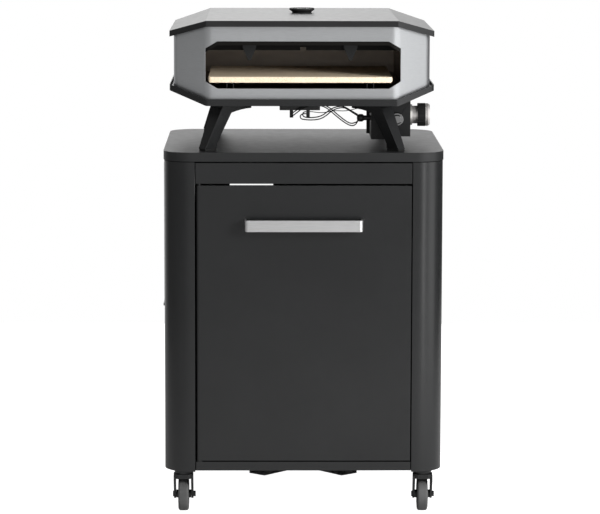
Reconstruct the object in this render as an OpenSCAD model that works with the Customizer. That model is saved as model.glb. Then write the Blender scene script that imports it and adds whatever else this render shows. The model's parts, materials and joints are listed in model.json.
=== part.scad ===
// Rolling steel cabinet with a gas pizza oven standing on its worktop.
// Units are millimetres. X runs to the right, Y to the back and Z up.
// The origin is on the floor, under the middle of the object's outer box.

/* [Cart] */
// Width of the worktop
cart_w = 620; // [560:5:720]
// Depth of the worktop
cart_d = 590; // [560:5:680]
// Height of the worktop's top face above the floor
cart_h = 809; // [740:1:900]
// Radius of the cabinet's four upright corners
corner_r = 62; // [50:1:66]
// Depth of the worktop's folded edge
slab_t = 20; // [14:1:26]
// Thickness of the worktop's sheet
slab_sheet = 2; // [1:0.5:3]
// Shadow gap between the worktop's edge and the cabinet
slab_gap = 3; // [2:0.5:6]
// How far the cabinet stands back from the worktop's edge
body_inset = 1.2; // [0.5:0.1:4]
// Thickness of the cabinet's sheet
sheet = 1.5; // [1:0.1:2]

/* [Cabinet] */
// Width of each corner post, seen from the front
post_face = 68.8; // [67:0.1:80]
// Width of each corner post, seen from the side
post_side = 72; // [68:1:80]
// Depth of the post's return beside the door
jamb_d = 22; // [18:1:34]
// Gap between the worktop's edge and the posts
post_gap = 1.2; // [0.5:0.1:3]
// Upright gap between the posts and the fixed front panels
seam = 1.8; // [0.5:0.1:2.5]
// Depth of the recess in each side, between the posts
recess_d = 24; // [22:0.5:30]
// How far the posts reach below the floor plate
post_skirt = 3; // [2:0.5:8]
// Height of the fixed panel above the door
apron_h = 45.7; // [36:0.1:70]
// Height of the rail below the door
rail_h = 20; // [16:1:40]
// Depth of the folded flanges of apron, rail and panels
flange_d = 15; // [15:1:24]
// Thickness of the floor plate
floor_t = 2; // [1.5:0.5:4]
// Reach of the floor's ribs outwards from their ridge
rib_out = 34; // [20:1:50]
// Reach of the floor's ribs inwards from their ridge
rib_in = 76; // [50:1:80]
// Depth of the floor's ribs at their ridge
rib_h = 17.5; // [12:0.5:20]
// Height of the floor's ribs at their outer side
rib_side = 11.5; // [6:0.5:16]
// Distance of each rib from the middle
rib_x = 86; // [60:1:110]
// Height of the gas hose port in the back panel
port_z = 674; // [600:1:700]
// Place of the gas hose port, left of the middle
port_x = -118; // [-150:1:-80]
// Length of the gas hose port
port_w = 104; // [80:1:130]
// Height of the gas hose port, which is also its end diameter
port_h = 52; // [36:1:70]

/* [Door] */
// Thickness of the door
door_t = 14; // [12:1:15]
// Gap at the sides and below the door
door_gap = 2.5; // [2:0.1:4]
// Gap above the door
door_top_gap = 4.4; // [3:0.1:8]
// Radius of the hinge pins
pin_r = 4; // [3:0.5:4.5]
// Running clearance round every pin
pin_clear = 0.05; // [0.02:0.01:0.1]
// Length of the door's bushes
bush_len = 20; // [12:1:30]
// Wall of the door's bushes
bush_wall = 1.45; // [1:0.05:1.5]
// Length of the handle
handle_w = 260; // [160:2:400]
// Height of the handle's flat bar
handle_h = 25; // [16:1:40]
// Thickness of the handle's flat bar
handle_t = 4; // [3:0.5:6]
// How far the handle stands out from the worktop's front edge
handle_reach = 35; // [28:1:50]
// Height of the handle's top edge below the door's top
handle_drop = 73; // [40:1:120]
// Radius of the handle's bends
handle_bend = 8; // [6:1:12]

/* [Side shelf] */
// Thickness of the hanging shelf
shelf_t = 18; // [16:1:20]
// Reach of the shelf from its hinge
shelf_len = 320; // [200:5:400]
// Gap between the shelf's ends and the posts
shelf_gap = 7; // [6:0.5:12]
// How far the shelf stands proud of the cabinet's side
shelf_proud = 1; // [0:0.5:1.5]
// Thickness of the shelf's hinge plates
hinge_plate = 4; // [3:0.5:5]
// Length of the shelf's pins inside the shelf
shelf_pin = 24; // [16:1:40]

/* [Casters] */
// Height of the casters, from the floor to the cabinet's floor plate
caster_h = 99; // [94:1:120]
// Radius of the wheels
wheel_r = 37.5; // [30:0.5:38]
// Width of the wheels
wheel_w = 23.6; // [20:0.1:28]
// Depth of the rounding at the treads' shoulders
tread_crown = 6; // [2:0.5:6.5]
// Distance of each kingpin from the middle
caster_x = 267; // [240:1:268]
// Distance of each kingpin from the worktop's front or back edge
caster_y = 29; // [29:1:100]
// Distance from kingpin to wheel axle
trail = 18; // [14:1:30]
// Radius of the wheel axles
axle_r = 4; // [3:0.5:5]
// Outer width of the forks
fork_w = 43.4; // [40:0.2:50]
// Thickness of the forks' legs
fork_t = 4.6; // [2:0.2:5]
// Depth of the forks' crowns
crown_t = 10; // [5:0.5:12]

/* [Oven] */
// Width of the oven's lid and tray
oven_w = 585; // [560:1:600]
// Depth of the oven's lid and tray
oven_d = 580; // [560:1:588]
// Width of the flat middle of lid and tray
oven_flat = 421.6; // [416:0.2:440]
// Depth of the cut corners, front to back
oven_cut = 68; // [50:1:90]
// Place of the oven's middle, from the middle of the cart
oven_x = -4; // [-10:1:10]
// Height of the oven's flat lid above the worktop
lid_z = 288.4; // [285:0.2:320]
// How far the lid's wings fall to their outer edges
lid_fall = 25.4; // [10:0.2:26]
// Height of the lid's folded edge
lid_rim = 13; // [10:0.5:18]
// Height of the oven's flat underside above the worktop
tray_z = 102; // [98:0.5:108]
// How far the underside's wings rise to their outer edges
tray_rise = 29.5; // [20:0.5:32]
// Height of the tray's folded edge in the middle
tray_rim = 15; // [14:0.2:22]
// Height of the tray's folded edge at the wings' outer edges
tray_rim_end = 13.4; // [10:0.2:18]
// Thickness of the oven's sheets
oven_sheet = 1.5; // [1:0.1:2]
// Radius of the lid's upright corners
lid_corner = 6; // [3:0.5:14]
// Radius of the tray's upright corners
tray_corner = 15; // [3:0.5:24]
// How far the shell stands back from lid and tray
shell_inset = 9.2; // [6:0.2:14]
// Outer radius of the shell's upright bends
shell_bend = 30; // [8:0.5:40]

/* [Oven mouth and chamber] */
// Width of the mouth
mouth_w = 428; // [416:1:432]
// Height of the mouth
mouth_h = 103.4; // [90:0.1:105]
// Height of the mouth's lower edge above the worktop
mouth_z = 139.6; // [138:0.1:144]
// Width of the mouth's cut corners
mouth_cut_w = 26; // [10:1:40]
// Height of the mouth's cut corners
mouth_cut_h = 15.5; // [8:0.5:24]
// How much wider the chamber is than the mouth, each side
chamber_side = 8; // [4:0.5:12]
// How much higher the chamber is than the mouth
chamber_top = 8; // [4:0.5:12]
// Gap between the chamber's back wall and the shell
chamber_back = 26; // [16:1:60]
// Depth of the black strip behind the mouth's upper edge
lintel_h = 8.5; // [6:0.5:20]
// Distance of the flame shield behind the shell's front
shield_back = 85; // [80:1:120]
// Distance of the flame shield below the chamber's roof
shield_drop = 20; // [14:0.5:24]
// Depth of the flame shield's folded front edge
shield_lip = 10.8; // [6:0.2:14]
// Width of the notch in the flame shield's front edge
shield_notch = 13; // [8:1:20]
// Place of the mouth's middle, from the oven's middle
mouth_x = 2; // [-4:0.5:4]
// Distance of each hanging plate from the stone's middle
hanger_x = 112; // [60:0.5:160]
// Width of the hanging plates
hanger_w = 30.3; // [16:0.1:36]
// Height of the hanging plates
hanger_h = 53.2; // [40:0.2:60]
// Height of the hanging plates' pointed ends
hanger_point = 28.6; // [20:0.2:32]
// Distance of the hanging plates behind the shell's front
hanger_back = 78; // [60:1:80]

/* [Stone] */
// Width of the baking stone
stone_w = 405; // [360:1:406]
// Depth of the baking stone
stone_d = 360; // [300:1:380]
// Thickness of the baking stone
stone_t = 12; // [10:0.5:20]
// Height of the stone's underside above the worktop
stone_z = 152; // [150:0.5:158]
// Width of the bevels along the stone's lower edges
stone_bevel = 3.5; // [3:0.5:5]
// Distance of the stone's front edge from the shell's front
stone_back = 12; // [6:1:30]
// Place of the stone's middle, from the oven's middle
stone_x = -4; // [-5:1:2]

/* [Burner] */
// Radius of the burner pipe
burner_r = 8; // [6:0.5:9]
// Length of the burner pipe
burner_len = 380; // [300:5:400]
// Distance of the burner pipe behind the stone
burner_gap = 34; // [26:1:60]
// Height of the burner pipe's middle above the chamber's floor
burner_lift = 11.5; // [10:0.5:16]
// Number of flame slots in the burner pipe
burner_slots = 15; // [6:1:24]
// Radius of the gas feed pipe
feed_r = 5; // [3:0.5:6]
// Radius of the gas feed pipe's bend
feed_bend = 12; // [10:0.5:18]

/* [Legs] */
// Distance of each leg's ridge from the oven's middle, at the top
leg_top_x = 172; // [160:1:178]
// Distance of each leg's ridge from the oven's middle, at the foot
leg_foot_x = 212.7; // [200:0.1:220]
// Distance of the feet's ridge from the oven's middle, front to back
leg_foot_y = 266; // [250:1:268]
// How far each leg leans out, front to back
leg_lean_y = 32; // [20:1:40]
// Width of the inner plate at the foot
leg_inner_foot = 35.7; // [26:0.1:40]
// Width of the inner plate just below its flare
leg_inner_top = 35.8; // [30:0.1:40]
// Width of the outer plate at the foot
leg_outer_foot = 21.7; // [16:0.1:30]
// Width of the outer plate at the top
leg_outer_top = 37.3; // [30:0.1:46]
// Length of the inner plate's upper edge
leg_flare = 86; // [60:1:90]
// Height of the flare at its tip
leg_flare_tip = 13.5; // [8:0.5:18]
// Height of the flare where it meets the inner plate
leg_flare_h = 21; // [19:0.5:30]
// Thickness of the legs' sheet
leg_t = 3; // [2:0.5:4]
// Thickness of the rubber pads under the feet
pad_t = 5; // [3:0.5:8]

/* [Controls] */
// Left edge of the control box, from the oven's middle
box_x0 = 154.5; // [150:0.5:160]
// Right edge of the control box, from the oven's middle
box_x1 = 242; // [236:0.5:248]
// Depth of the control box
box_d = 110; // [90:1:140]
// Distance of the control box's front from the oven's front edge
box_back = 94; // [88:1:104]
// Height of the control box's underside above the worktop
box_z = 27; // [20:0.5:34]
// Width of the ear at the control box's back
box_ear = 7; // [4:0.5:10]
// How much deeper the left part of the control box hangs
box_step = 6.5; // [2:0.5:10]
// Radius of the gas knob's rubber band
knob_r = 25.8; // [18:0.2:28]
// Length of the gas knob, with its collar
knob_len = 44.6; // [40:0.2:52]
// Distance of the knob's axis behind the control box's front
knob_y = 45; // [32:1:60]
// Height of the knob's axis above the worktop
knob_z = 72.3; // [60:0.1:76]
// Radius of the knob's shaft
shaft_r = 4; // [3:0.5:5]
// Radius of the igniter's ring
igniter_r = 16; // [12:0.5:17]
// Place of the igniter, from the oven's middle
igniter_x = 212; // [208:0.5:216]
// Height of the igniter above the worktop
igniter_z = 65.3; // [60:0.1:76]
// Travel of the igniter's button
igniter_travel = 5; // [3:0.5:6]
// Radius of the gas inlet's tail
inlet_r = 5; // [4:0.5:8]
// Length of the gas inlet's tail
inlet_len = 22; // [16:1:30]

/* [Thermometer] */
// Radius of the thermometer's case
gauge_r = 29; // [22:0.5:34]
// Height of the thermometer's case
gauge_h = 11; // [9:0.5:16]
// Distance of the thermometer from the lid's front edge
gauge_back = 358; // [250:1:420]
// Place of the thermometer, from the oven's middle
gauge_x = 3; // [-20:1:20]
// Length of the thermometer's probe below the chamber's roof
probe_len = 30; // [24:1:40]

/* [Hidden] */
$fn = 72;

eps = 0.01;
steel_black = [0.2, 0.2, 0.21];
iron_black = [0.12, 0.12, 0.13];
steel_grey = [0.66, 0.66, 0.66];
bright = [0.82, 0.82, 0.82];
rubber = [0.08, 0.08, 0.08];
stone_tan = [0.9, 0.8, 0.66];

// Cabinet, derived
front_y = -(cart_d - handle_reach) / 2;
back_y = front_y + cart_d;
body_front = front_y + body_inset;
body_back = back_y - body_inset;
side_x = cart_w / 2 - body_inset;
panel_x = side_x - recess_d;
jamb_x = side_x - post_face;
slab_z = cart_h - slab_t;
body_top = slab_z - slab_gap;
post_z = caster_h - post_skirt;
post_top = slab_z - post_gap;
floor_z = caster_h + floor_t;
rail_top = caster_h + rail_h;
apron_z = body_top - apron_h;
bore_r = pin_r + pin_clear;
rib_inset = 30;

// Door, derived
door_z0 = rail_top + door_gap;
door_z1 = apron_z - door_top_gap;
edge_r = door_t / 2;
door_pin_x = -jamb_x + door_gap + edge_r;
door_pin_y = body_front + edge_r;
door_x1 = jamb_x - door_gap;
liner_back = 0.2;
washer_t = door_gap - 0.1;
stile_w = edge_r + 2;
handle_z1 = door_z1 - handle_drop;
catch_z = door_z1 - 160;
catch_h = 40;
catch_w = 22;
strike_t = 1.5;
strike_gap = 0.4;

// Side shelf, derived
shelf_r = shelf_t / 2;
shelf_x = -side_x - shelf_proud;
hinge_x = shelf_x + shelf_r;
hinge_z = slab_z - shelf_r - 1.5;
shelf_y0 = body_front + post_side + shelf_gap;
shelf_y1 = body_back - post_side - shelf_gap;
shelf_z0 = hinge_z - shelf_len;
shelf_lip = 2;
buffer_r = 8;
soft_gap = 0.3;

// Casters, derived
front_king_y = front_y + caster_y;
rear_king_y = back_y - caster_y;
flange_t = 3;
flange_r = 20;
race_r = 20.5;
race_h = 7.5;
crown_gap = 0.5;
crown_r = 20.5;
crown_z1 = caster_h - flange_t - race_h - crown_gap;
crown_z0 = crown_z1 - crown_t;
king_r = 5;
king_head_r = 9;
king_head_t = 1.2;
fork_top_r = 17;
fork_foot_r = 10;
hub_half = fork_w / 2 - fork_t - 0.5;
hub_r = 9;
tread_t = 7;
bolt_r = 6.5;
head_t = 2.5;
nut_t = 5;

// Oven, derived
oven_y = front_y + cart_d / 2;
half_w = oven_w / 2;
half_d = oven_d / 2;
half_flat = oven_flat / 2;
cut_w = half_w - half_flat;
cut_angle = atan(oven_cut / cut_w);
flat_shift = tan(cut_angle / 2);
side_shift = tan((90 - cut_angle) / 2);
lid_edge_z = lid_z - lid_fall;
tray_edge_z = tray_z + tray_rise;
shell_y = -half_d + shell_inset;
mouth_top = mouth_z + mouth_h;
chamber_z0 = mouth_z - 1.5;
chamber_z1 = mouth_top + chamber_top;
chamber_half = mouth_w / 2 + abs(mouth_x) + chamber_side;
chamber_y0 = shell_y + oven_sheet;
mouth_reach = 22;
chamber_y1 = half_d - shell_inset - oven_sheet - chamber_back;
shield_z = chamber_z1 - oven_sheet - shield_drop;
stand_x = 150;
stand_w = 30;
stand_end = 30;
rail_x = 154;
rail_w = 16;
rail_t = 2;
stone_y0 = shell_y + stone_back;
stone_y1 = stone_y0 + stone_d;
burner_y = stone_y1 + burner_gap;
feed_x = burner_len / 2 - 14;
burner_z = chamber_z0 + oven_sheet + burner_lift;
feed_z = tray_z - feed_bend - 1;
probe_hole = 5;

// Controls, derived
box_y0 = -half_d + box_back;
box_y1 = box_y0 + box_d;
box_mid_x = 190;
box_wall = 1.5;
box_top_gap = 0.3;
knob_axis_y = box_y0 + knob_y;
collar_t = 5;
band_len = 17;
ring_t = 10;
knob_gap = 0.4;
inlet_x = box_x0 + 12;
inlet_z = box_z + 20;
unit_y = box_y0 + 20;
unit_x0 = -49;
unit_x1 = 41;
unit_h = 17;
unit_d = 34;
boot_w = 8;
boot_z = 67.5;
boot_one = -22.5;
boot_two = 14.5;
plug_x = 123.5;
plug_z = 67;

// Routes of the leads from the spark unit's boots to the plug and the control box
// y is counted from the spark unit's middle
lead_r = 1.3;
wire_r = 0.9;
lead_one = [[-22.5, -4.1, 70], [-22.4, -8.4, 70.1], [-21, -13, 71.4], [-17.6, -17.4, 74.4],
    [-12.6, -20.8, 78.6], [-6.4, -23, 83.6], [0.5, -24.2, 88.6], [8, -24.8, 92.6], [17, -25, 95.2],
    [28, -25, 96.4], [40, -25, 95.9], [50, -24.8, 93.2], [58.4, -24.2, 88.4], [66, -23.2, 82.2],
    [75, -21.6, 74.4], [84, -19.4, 66.8], [93, -16.6, 59.9], [101.5, -13.4, 54.3],
    [109, -10.2, 50.9], [115.2, -7.6, 50.3], [120.2, -5.6, 52.8], [123.4, -4.2, 56.8], [125.9, -3.1, 60.8]];
lead_two = [[-22.5, -4.15, 75.6], [-22.7, -8, 75.7], [-22, -12, 76.7], [-19.6, -15.6, 79.2],
    [-15.2, -18.4, 82.6], [-9.2, -20, 87], [-2.4, -20.8, 91.4], [5.6, -21.2, 95.2], [15.4, -21.4, 97.8],
    [27.6, -21.4, 99], [40.4, -21.4, 98.7], [51.6, -21.2, 96.2], [60.6, -20.6, 91.6], [69, -19.6, 85.2],
    [77.4, -18.2, 77.9], [86.4, -16, 70.3], [94.8, -13.2, 63.7], [102.2, -10.2, 58.6],
    [108.6, -7.2, 55.7], [114, -4.4, 55.2], [118.8, -1.8, 56.4], [122.4, -0.1, 57.6], [125.2, 1.2, 60.65]];
lead_three = [[10.1, -2.5, 76], [6.5, -3.4, 76.2], [2, -4.8, 75.5], [-1.6, -6.2, 73.2], [-3, -7.6, 70],
    [-2, -8.6, 67], [0.8, -9, 64.9], [5.4, -9.2, 64], [14, -9.2, 63], [23.5, -9, 62.8],
    [33, -8.6, 63.6], [41.7, -8.2, 65.5], [50, -8, 69.4], [57.3, -7.8, 74.6], [64.5, -7.6, 80.6],
    [71.5, -7.4, 85], [79.5, -7.2, 88.2], [88, -7, 89.8], [96, -6.6, 89.2], [103, -5.6, 85.8],
    [109, -4.6, 82], [115, -3.4, 78], [120, -2.5, 74.8], [124.3, -1.8, 72]];
lead_four = [[10.3, 2, 80], [6.9, 1.7, 79.8], [3.9, 0.7, 77.8], [2.7, -0.9, 74.4], [4, -3.2, 71],
    [7.6, -5.2, 69], [12.3, -6.2, 68.1], [18, -6.3, 67.8], [24, -6.2, 67.9], [31, -6, 68.6],
    [39, -5.6, 70.2], [47.7, -5, 73.8], [55, -4.4, 79], [62.5, -4, 84.8], [72, -3.6, 89.6],
    [84, -3.4, 92.4], [94, -3.2, 91.8], [102, -2.4, 88.2], [108.5, -1, 84.2], [114.5, 0.4, 80.6],
    [120.5, 1.4, 77], [125.9, 1.9, 73.9]];
wire = [[18.65, 0, 80.6], [23, 0.4, 80.4], [30, 1, 79.4], [38, 1.5, 78.5], [47, 2, 78.4],
    [56, 2.3, 79.3], [64, 2.6, 80.9], [72, 2.8, 82.2], [82, 3, 82.4], [93, 3, 82.1], [104, 3, 83],
    [114, 3, 85.2], [123, 3.2, 87.3], [132.2, 3.4, 88], [141, 3.6, 86.2], [147.6, 3.8, 82.4],
    [151.2, 3.9, 79.5], [154, 4, 78]];

// Flat outline of a rectangle with round corners, round its own middle
module round_rect(w, d, r) {
    square([w, d - 2 * r], center = true);
    square([w - 2 * r, d], center = true);
    for (sx = [-1, 1], sy = [-1, 1])
        translate([sx * (w / 2 - r), sy * (d / 2 - r)]) circle(r);
}

// Moves what follows from the oven's own middle on the worktop to its place
module on_table() {
    translate([oven_x, oven_y, cart_h]) children();
}

// Worktop: a pan folded down at its edges, with two stiffening channels beneath
module worktop() {
    channel_w = 40;
    channel_x = cart_w / 4;
    channel_d = slab_t - slab_sheet - 3;
    color(steel_black) {
        translate([0, front_y + cart_d / 2, slab_z]) difference() {
            linear_extrude(slab_t) round_rect(cart_w, cart_d, corner_r + body_inset);
            translate([0, 0, -1]) linear_extrude(slab_t - slab_sheet + 1)
                round_rect(cart_w - 2 * slab_sheet, cart_d - 2 * slab_sheet,
                    corner_r + body_inset - slab_sheet);
        }
        for (sx = [-1, 1]) translate([sx * channel_x, body_front + 40, cart_h - slab_sheet])
            rotate([-90, 0, 0]) linear_extrude(cart_d - 80) difference() {
                translate([-channel_w / 2, 0]) square([channel_w, channel_d]);
                translate([-channel_w / 2 + sheet, -1])
                    square([channel_w - 2 * sheet, channel_d - sheet + 1]);
            }
    }
}

// Plan of one corner post: x runs in from the side face and y in from the front face
module post_skin() {
    intersection() {
        translate([corner_r, corner_r]) difference() {
            circle(corner_r);
            circle(corner_r - sheet);
        }
        square(corner_r);
    }
    translate([corner_r, 0]) square([post_face - corner_r, sheet]);
    translate([0, corner_r]) square([sheet, post_side - corner_r]);
}

module post_returns() {
    translate([post_face - sheet, 0]) square([sheet, jamb_d]);
    translate([0, post_side - sheet]) square([recess_d + sheet, sheet]);
}

// Corner post at the side sx and the end sy, each -1 or 1
module post(sx, sy) {
    color(steel_black)
        translate([sx * side_x, sy < 0 ? body_front : body_back, 0])
        mirror([sx > 0 ? 1 : 0, 0, 0]) mirror([0, sy > 0 ? 1 : 0, 0]) {
            translate([0, 0, post_z]) linear_extrude(post_top - post_z) post_skin();
            translate([0, 0, floor_z]) linear_extrude(post_top - floor_z) post_returns();
        }
}

// Side panels at the bottom of the recesses, folded in under the worktop
module side_panels() {
    top_z = cart_h - slab_sheet;
    color(steel_black) for (sx = [0, 1]) mirror([sx, 0, 0])
        translate([0, body_back - post_side, 0]) rotate([90, 0, 0])
        linear_extrude(body_back - body_front - 2 * post_side) {
            translate([panel_x - sheet, floor_z]) square([sheet, top_z - floor_z]);
            translate([panel_x - flange_d, top_z - sheet]) square([flange_d, sheet]);
            translate([panel_x - flange_d, floor_z]) square([flange_d, sheet]);
        }
}

// Back panel between the rear posts, with the port for the gas hose
module back_panel() {
    color(steel_black) difference() {
        union() {
            translate([-jamb_x, body_back - sheet, floor_z])
                cube([2 * jamb_x, sheet, body_top - floor_z]);
            for (z = [floor_z, body_top - sheet])
                translate([-jamb_x, body_back - flange_d, z]) cube([2 * jamb_x, flange_d, sheet]);
        }
        translate([port_x, body_back + 1, port_z]) rotate([90, 0, 0])
            linear_extrude(sheet + 2) round_rect(port_w, port_h, port_h / 2 - eps);
    }
}

// Folded flange behind a front panel at the height z, full width only behind the seams
module front_flange(z) {
    w = 2 * (jamb_x - seam);
    translate([-w / 2, body_front, z]) cube([w, flange_d, sheet]);
    translate([-jamb_x, body_front + flange_d / 2, z]) cube([2 * jamb_x, flange_d / 2, sheet]);
}

// Fixed panel above the door, a channel open to the back
module apron() {
    w = 2 * (jamb_x - seam);
    color(steel_black) {
        translate([-w / 2, body_front, apron_z]) cube([w, sheet, apron_h]);
        front_flange(apron_z);
        front_flange(body_top - sheet);
    }
}

// Rail below the door, folded back over the floor plate
module bottom_rail() {
    w = 2 * (jamb_x - seam);
    color(steel_black) {
        translate([-w / 2, body_front, caster_h]) cube([w, sheet, rail_h]);
        front_flange(rail_top - sheet);
    }
}

module floor_plate() {
    color(steel_black) translate([0, front_y + cart_d / 2, caster_h]) linear_extrude(floor_t)
        round_rect(2 * (side_x - sheet), body_back - body_front - 2 * sheet, corner_r - sheet);
}

// Two folded ribs that stiffen the floor plate from below, each with an upright outer side
module floor_ribs() {
    color(steel_black) for (sx = [-1, 1])
        translate([sx * rib_x, body_front + rib_inset, caster_h]) rotate([-90, 0, 0])
            linear_extrude(body_back - body_front - 2 * rib_inset) mirror([sx < 0 ? 0 : 1, 0]) difference() {
                polygon([[-rib_out, 0], [-rib_out, rib_side], [0, rib_h], [rib_in, 0]]);
                polygon([[-rib_out + sheet, -1], [-rib_out + sheet, rib_side - sheet],
                    [0, rib_h - sheet], [rib_in - 8, 0], [rib_in - 8, -1]]);
            }
}

// Hinge pins of the door, one up from the rail and one down from the apron
module door_pins() {
    color(iron_black) translate([door_pin_x, door_pin_y, 0]) {
        translate([0, 0, rail_top]) {
            cylinder(r = edge_r - 0.5, h = washer_t);
            cylinder(r = pin_r, h = bush_len);
        }
        translate([0, 0, apron_z - bush_len - door_top_gap + 2])
            cylinder(r = pin_r, h = bush_len + door_top_gap - 2);
    }
}

// Magnet catch on the right jamb
module door_catch() {
    catch_y = body_front + door_t - liner_back + strike_t + strike_gap;
    color(iron_black) translate([jamb_x - catch_w, catch_y, catch_z]) difference() {
        cube([catch_w, 14, catch_h]);
        translate([4, -1, 12]) cube([catch_w - 8, 2, catch_h - 24]);
    }
}

// Plan of the door: a flat leaf whose hinge side is round about the pins
module door_plan() {
    translate([door_pin_x, door_pin_y]) circle(edge_r);
    translate([door_pin_x, body_front]) square([door_x1 - door_pin_x, door_t]);
}

module door_panel() {
    color(steel_black) difference() {
        translate([0, 0, door_z0]) linear_extrude(door_z1 - door_z0) door_plan();
        translate([door_pin_x + stile_w, body_front + sheet, door_z0 + sheet])
            cube([door_x1 - door_pin_x - stile_w - sheet, door_t, door_z1 - door_z0 - 2 * sheet]);
        translate([door_pin_x, door_pin_y, door_z0 - 1])
            cylinder(r = bore_r + bush_wall, h = door_z1 - door_z0 + 2);
    }
}

// Inner sheet of the door
module door_liner() {
    color(steel_black)
        translate([door_pin_x + stile_w, body_front + door_t - liner_back - sheet, door_z0 + sheet])
            cube([door_x1 - door_pin_x - stile_w - sheet, sheet, door_z1 - door_z0 - 2 * sheet]);
}

module door_bushes() {
    color(rubber) for (z = [door_z0, door_z1 - bush_len]) translate([door_pin_x, door_pin_y, z])
        difference() {
            cylinder(r = bore_r + bush_wall, h = bush_len);
            translate([0, 0, -1]) cylinder(r = bore_r, h = bush_len + 2);
        }
}

// Plan of the handle's inside or outside, open at the door
module handle_plan(w, reach, bend) {
    translate([-w / 2, -reach + bend]) square([w, reach - bend]);
    translate([-w / 2 + bend, -reach]) square([w - 2 * bend, reach]);
    for (sx = [-1, 1]) translate([sx * (w / 2 - bend), -reach + bend]) circle(bend);
}

// Flat bar handle, bent back to the door at both ends
module door_handle() {
    color(bright) translate([0, body_front, handle_z1 - handle_h]) linear_extrude(handle_h) {
        difference() {
            handle_plan(handle_w, handle_reach + body_inset, handle_bend);
            translate([0, 1]) handle_plan(handle_w - 2 * handle_t,
                handle_reach + body_inset - handle_t + 1, handle_bend - handle_t);
        }
    }
}

module door_strike() {
    color(bright) translate([jamb_x - catch_w - door_gap, body_front + door_t - liner_back, catch_z + 2])
        cube([catch_w - 4, strike_t, catch_h - 4]);
}

// Section of the side shelf, seen along its hinge
module shelf_section() {
    translate([hinge_x, hinge_z]) circle(shelf_r);
    translate([shelf_x, shelf_z0]) square([shelf_t, shelf_len]);
    translate([shelf_x - shelf_lip, shelf_z0]) square([shelf_lip + 1, 6]);
}

// Drop-leaf shelf, hanging in the left recess from the pins at its upper edge
module side_shelf() {
    color(steel_black) difference() {
        translate([0, shelf_y1, 0]) rotate([90, 0, 0]) linear_extrude(shelf_y1 - shelf_y0) shelf_section();
        translate([shelf_x + sheet, shelf_y0 + sheet, shelf_z0 + sheet])
            cube([shelf_t, shelf_y1 - shelf_y0 - 2 * sheet, shelf_len - shelf_r - sheet - 2]);
        for (y = [shelf_y0 - 1, shelf_y1 - shelf_pin - 1]) translate([hinge_x, y, hinge_z])
            rotate([-90, 0, 0]) cylinder(r = bore_r, h = shelf_pin + 2);
    }
}

// Hinge plates of the side shelf, each with its pin
module shelf_hinges() {
    plate_h = 22;
    foot_h = 40;
    color(iron_black) for (sy = [-1, 1])
        translate([0, sy < 0 ? body_front + post_side : body_back - post_side, 0])
        mirror([0, sy < 0 ? 0 : 1, 0]) {
            translate([-side_x + 1, 0, hinge_z - plate_h / 2])
                cube([recess_d - 1, hinge_plate, plate_h]);
            translate([-panel_x - 2, 0, hinge_z - foot_h]) cube([2, hinge_plate, foot_h]);
            translate([hinge_x, hinge_plate - 1, hinge_z]) rotate([-90, 0, 0])
                cylinder(r = pin_r, h = shelf_gap - hinge_plate + shelf_pin);
        }
}

// Rubber buffers that keep the hanging shelf off the side panel
module shelf_buffers() {
    reach = recess_d + shelf_proud - sheet - soft_gap;
    color(rubber) for (y = [shelf_y0 + 60, shelf_y1 - 60])
        translate([-panel_x, y, shelf_z0 + 40]) rotate([0, -90, 0])
            cylinder(r1 = buffer_r, r2 = buffer_r - 2, h = reach);
}

// Places what follows at the caster of the side sx and the end sy, its wheel to the middle
module at_caster(sx, sy) {
    translate([sx * caster_x, sy < 0 ? front_king_y : rear_king_y, 0])
        rotate([0, 0, sy < 0 ? 180 : 0]) children();
}

// Fixed heads of the casters: round flange, bearing race and kingpin
module caster_heads() {
    color(iron_black) for (sx = [-1, 1], sy = [-1, 1]) at_caster(sx, sy) {
        translate([0, 0, caster_h - flange_t]) cylinder(r = flange_r, h = flange_t);
        translate([0, 0, crown_z1 + crown_gap]) cylinder(r1 = race_r - 1.5, r2 = race_r, h = race_h);
        translate([0, 0, crown_z0 - crown_gap]) cylinder(r = king_r, h = crown_t + race_h);
        translate([0, 0, crown_z0 - crown_gap - king_head_t]) cylinder(r = king_head_r, h = king_head_t);
    }
}

// Four-cornered web whose long sides touch two circles, in the plane of the circles
function touch_web(a, ra, b, rb) =
    let (d = norm(b - a), dir = atan2(b[1] - a[1], b[0] - a[0]), tilt = acos((ra - rb) / d))
    [a + ra * [cos(dir + tilt), sin(dir + tilt)], b + rb * [cos(dir + tilt), sin(dir + tilt)],
     b + rb * [cos(dir - tilt), sin(dir - tilt)], a + ra * [cos(dir - tilt), sin(dir - tilt)]];

// Side view of a fork leg: x is along the cart's depth, y is height
module fork_leg() {
    top = [0, crown_z0];
    foot = [-trail, wheel_r];
    polygon(touch_web(top, fork_top_r - 0.2, foot, fork_foot_r - 0.2));
    translate(foot) circle(fork_foot_r);
    translate(top) circle(fork_top_r);
}

// Plan of the crown: a disc cut off at both sides where the legs hang
module crown_plan() {
    intersection() {
        circle(crown_r + 3);
        translate([-fork_w / 2, -crown_r]) square([fork_w, 2 * crown_r]);
    }
}

// Swivel fork with its wheel axle, bolt head and nut
module fork(sx, sy) {
    color(iron_black) at_caster(sx, sy) {
        translate([0, 0, crown_z0]) linear_extrude(crown_t) difference() {
            crown_plan();
            circle(king_r + pin_clear);
        }
        for (s = [-1, 1]) translate([s * (fork_w - fork_t) / 2 - fork_t / 2, 0, 0])
            rotate([90, 0, 90]) linear_extrude(fork_t) intersection() {
                fork_leg();
                translate([-trail - wheel_r, 0]) square([trail + 2 * wheel_r, crown_z1 - 2]);
            }
        translate([-fork_w / 2 - nut_t, -trail, wheel_r]) rotate([0, 90, 0]) {
            cylinder(r = axle_r, h = fork_w + nut_t + head_t);
            cylinder(r = bolt_r, h = nut_t + eps, $fn = 6);
            translate([0, 0, fork_w + nut_t - eps]) cylinder(r = bolt_r, h = head_t + eps);
        }
    }
}

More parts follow.
